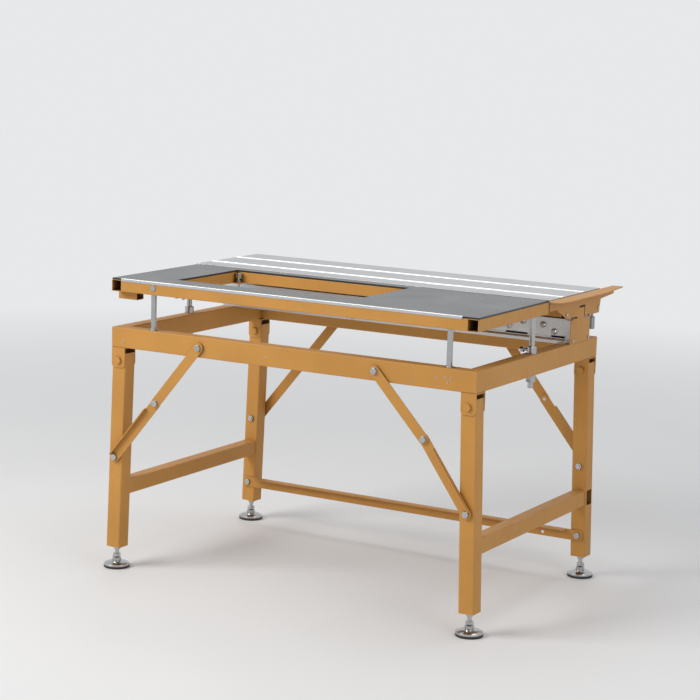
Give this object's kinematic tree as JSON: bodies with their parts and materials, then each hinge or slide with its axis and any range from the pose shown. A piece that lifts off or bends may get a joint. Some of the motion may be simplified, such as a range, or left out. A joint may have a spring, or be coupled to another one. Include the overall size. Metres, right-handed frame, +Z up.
{
  "type": "router table",
  "caption": "Folding steel bench with a height-adjustable panel cut out for a router or saw, and an aluminium sliding table on a beam along its back.",
  "frame": {"origin": "middle of the overall footprint, on the floor under the rubber feet", "axes": "+X along the table towards the end with the stop plate, +Y from the front edge to the sliding table at the back, +Z up"},
  "size_m": [1.28, 0.9122, 0.877],
  "materials": {
    "painted_steel": "satin powder coat, golden ochre",
    "panel_board": "smooth charcoal phenolic face",
    "bright_aluminium": "anodised, brushed lengthways",
    "mill_aluminium": "mill finish",
    "plated_steel": "zinc and chrome plated",
    "grey_steel": "brushed",
    "glide_nylon": "natural nylon",
    "rubber": "moulded black rubber"
  },
  "bodies": {
    "lower_frame": {"lower_front_rail": "painted_steel", "lower_rear_rail": "painted_steel", "lower_left_rail": "painted_steel", "lower_right_rail": "painted_steel", "leg_hinge_brackets": "painted_steel", "leg_hinge_bolts": "painted_steel", "brace_rail_bolts": "plated_steel", "rod_collars_and_nuts": "plated_steel", "slide_beam": "mill_aluminium", "beam_end_plate": "painted_steel", "beam_end_cap": "mill_aluminium", "frame_screws": "plated_steel"},
    "leg_frame_left": {"leg_front_left": "painted_steel", "leg_rear_left": "painted_steel", "crossbar_left": "painted_steel", "leg_nuts_left": "plated_steel"},
    "leg_frame_right": {"leg_front_right": "painted_steel", "leg_rear_right": "painted_steel", "crossbar_right": "painted_steel", "leg_nuts_right": "plated_steel"},
    "brace_upper_front_left": {"brace_upper_front_left": "painted_steel"},
    "brace_lower_front_left": {"brace_lower_front_left": "painted_steel", "brace_bolts_front_left": "plated_steel"},
    "foot_stud_front_left": {"foot_stud_front_left": "plated_steel"},
    "foot_front_left": {"foot_dish_front_left": "plated_steel", "foot_rubber_front_left": "rubber"},
    "brace_upper_front_right": {"brace_upper_front_right": "painted_steel"},
    "brace_lower_front_right": {"brace_lower_front_right": "painted_steel", "brace_bolts_front_right": "plated_steel"},
    "foot_stud_front_right": {"foot_stud_front_right": "plated_steel"},
    "foot_front_right": {"foot_dish_front_right": "plated_steel", "foot_rubber_front_right": "rubber"},
    "brace_upper_rear_left": {"brace_upper_rear_left": "painted_steel"},
    "brace_lower_rear_left": {"brace_lower_rear_left": "painted_steel", "brace_bolts_rear_left": "plated_steel"},
    "foot_stud_rear_left": {"foot_stud_rear_left": "plated_steel"},
    "foot_rear_left": {"foot_dish_rear_left": "plated_steel", "foot_rubber_rear_left": "rubber"},
    "brace_upper_rear_right": {"brace_upper_rear_right": "painted_steel"},
    "brace_lower_rear_right": {"brace_lower_rear_right": "painted_steel", "brace_bolts_rear_right": "plated_steel"},
    "foot_stud_rear_right": {"foot_stud_rear_right": "plated_steel"},
    "foot_rear_right": {"foot_dish_rear_right": "plated_steel", "foot_rubber_rear_right": "rubber"},
    "rear_stretcher": {"rear_stretcher": "painted_steel", "stretcher_bolts": "plated_steel"},
    "upper_frame": {"upper_front_rail": "painted_steel", "upper_rear_rail": "painted_steel", "upper_left_rail": "painted_steel", "upper_right_rail": "painted_steel", "opening_members": "painted_steel", "table_panel": "panel_board", "front_trim": "bright_aluminium", "extension_socket": "painted_steel", "lift_rods": "plated_steel", "upper_screws": "plated_steel"},
    "sliding_table": {"deck_planks": "bright_aluminium", "deck_carrier": "painted_steel", "deck_glides": "glide_nylon"},
    "lock_pin": {"deck_lock_pin": "grey_steel"}
  },
  "joints": [
    {"name": "left_leg_fold", "type": "hinge", "parent": "lower_frame", "child": "leg_frame_left", "pos_m": [-0.58397, -0.04385, 0.6335], "axis": [0, -1, 0], "range_deg": [0, 85]},
    {"name": "right_leg_fold", "type": "hinge", "parent": "lower_frame", "child": "leg_frame_right", "pos_m": [0.56803, -0.04385, 0.6335], "axis": [0, 1, 0], "range_deg": [0, 73.66]},
    {"name": "brace_upper_front_left_pivot", "type": "hinge", "parent": "lower_frame", "child": "brace_upper_front_left", "pos_m": [-0.29797, -0.44415, 0.701], "axis": [0, -1, 0], "range_deg": [-36.13, 0]},
    {"name": "brace_lower_front_left_pivot", "type": "hinge", "parent": "brace_upper_front_left", "child": "brace_lower_front_left", "pos_m": [-0.44516, -0.44415, 0.52166], "axis": [0, -1, 0], "range_deg": [0, 154.79]},
    {"name": "foot_level_front_left", "type": "slide", "parent": "leg_frame_left", "child": "foot_stud_front_left", "axis": [-0.0288, 0, -0.9996], "range_m": [-0.012, 0.02]},
    {"name": "foot_swivel_front_left", "type": "hinge", "parent": "foot_stud_front_left", "child": "foot_front_left", "pos_m": [-0.60153, -0.41385, 0.024], "axis": [0, 1, 0], "range_deg": [-8, 8]},
    {"name": "brace_upper_front_right_pivot", "type": "hinge", "parent": "lower_frame", "child": "brace_upper_front_right", "pos_m": [0.28203, -0.44415, 0.701], "axis": [0, 1, 0], "range_deg": [-30.35, 0]},
    {"name": "brace_lower_front_right_pivot", "type": "hinge", "parent": "brace_upper_front_right", "child": "brace_lower_front_right", "pos_m": [0.44082, -0.44415, 0.53118], "axis": [0, 1, 0], "range_deg": [0, 132.94]},
    {"name": "foot_level_front_right", "type": "slide", "parent": "leg_frame_right", "child": "foot_stud_front_right", "axis": [0.0288, 0, -0.9996], "range_m": [-0.012, 0.02]},
    {"name": "foot_swivel_front_right", "type": "hinge", "parent": "foot_stud_front_right", "child": "foot_front_right", "pos_m": [0.58559, -0.41385, 0.024], "axis": [0, 1, 0], "range_deg": [-8, 8]},
    {"name": "brace_upper_rear_left_pivot", "type": "hinge", "parent": "lower_frame", "child": "brace_upper_rear_left", "pos_m": [-0.29797, 0.35645, 0.701], "axis": [0, -1, 0], "range_deg": [-36.13, 0]},
    {"name": "brace_lower_rear_left_pivot", "type": "hinge", "parent": "brace_upper_rear_left", "child": "brace_lower_rear_left", "pos_m": [-0.44516, 0.35645, 0.52166], "axis": [0, -1, 0], "range_deg": [0, 154.79]},
    {"name": "foot_level_rear_left", "type": "slide", "parent": "leg_frame_left", "child": "foot_stud_rear_left", "axis": [-0.0288, 0, -0.9996], "range_m": [-0.012, 0.02]},
    {"name": "foot_swivel_rear_left", "type": "hinge", "parent": "foot_stud_rear_left", "child": "foot_rear_left", "pos_m": [-0.60153, 0.32615, 0.024], "axis": [0, 1, 0], "range_deg": [-8, 8]},
    {"name": "brace_upper_rear_right_pivot", "type": "hinge", "parent": "lower_frame", "child": "brace_upper_rear_right", "pos_m": [0.28203, 0.35645, 0.701], "axis": [0, 1, 0], "range_deg": [-34.01, 0]},
    {"name": "brace_lower_rear_right_pivot", "type": "hinge", "parent": "brace_upper_rear_right", "child": "brace_lower_rear_right", "pos_m": [0.42922, 0.35645, 0.52166], "axis": [0, 1, 0], "range_deg": [0, 140.25]},
    {"name": "foot_level_rear_right", "type": "slide", "parent": "leg_frame_right", "child": "foot_stud_rear_right", "axis": [0.0288, 0, -0.9996], "range_m": [-0.012, 0.02]},
    {"name": "foot_swivel_rear_right", "type": "hinge", "parent": "foot_stud_rear_right", "child": "foot_rear_right", "pos_m": [0.58559, 0.32615, 0.024], "axis": [0, 1, 0], "range_deg": [-8, 8]},
    {"name": "stretcher_removal", "type": "slide", "parent": "lower_frame", "child": "rear_stretcher", "axis": [0, -1, 0], "range_m": [0, 0.1201]},
    {"name": "table_height", "type": "slide", "parent": "lower_frame", "child": "upper_frame", "axis": [0, 0, 1], "range_m": [-0.03, 0.02]},
    {"name": "table_slide", "type": "slide", "parent": "lower_frame", "child": "sliding_table", "axis": [1, 0, 0], "range_m": [-0.6, 0]},
    {"name": "lock_pin_lift", "type": "slide", "parent": "lower_frame", "child": "lock_pin", "axis": [0, 0, 1], "range_m": [0, 0.012]}
  ],
  "couplings": [
    {"joint": "right_leg_fold", "follows": "left_leg_fold", "ratio": 0.86647},
    {"joint": "brace_upper_front_left_pivot", "follows": "left_leg_fold", "ratio": -0.42499},
    {"joint": "brace_lower_front_left_pivot", "follows": "left_leg_fold", "ratio": 1.821},
    {"joint": "brace_upper_front_right_pivot", "follows": "left_leg_fold", "ratio": -0.35698},
    {"joint": "brace_lower_front_right_pivot", "follows": "left_leg_fold", "ratio": 1.5639},
    {"joint": "brace_upper_rear_left_pivot", "follows": "left_leg_fold", "ratio": -0.42499},
    {"joint": "brace_lower_rear_left_pivot", "follows": "left_leg_fold", "ratio": 1.821},
    {"joint": "brace_upper_rear_right_pivot", "follows": "left_leg_fold", "ratio": -0.39999},
    {"joint": "brace_lower_rear_right_pivot", "follows": "left_leg_fold", "ratio": 1.6499},
    {"joint": "stretcher_removal", "follows": "left_leg_fold", "m_per_rad": 0.080888}
  ]
}
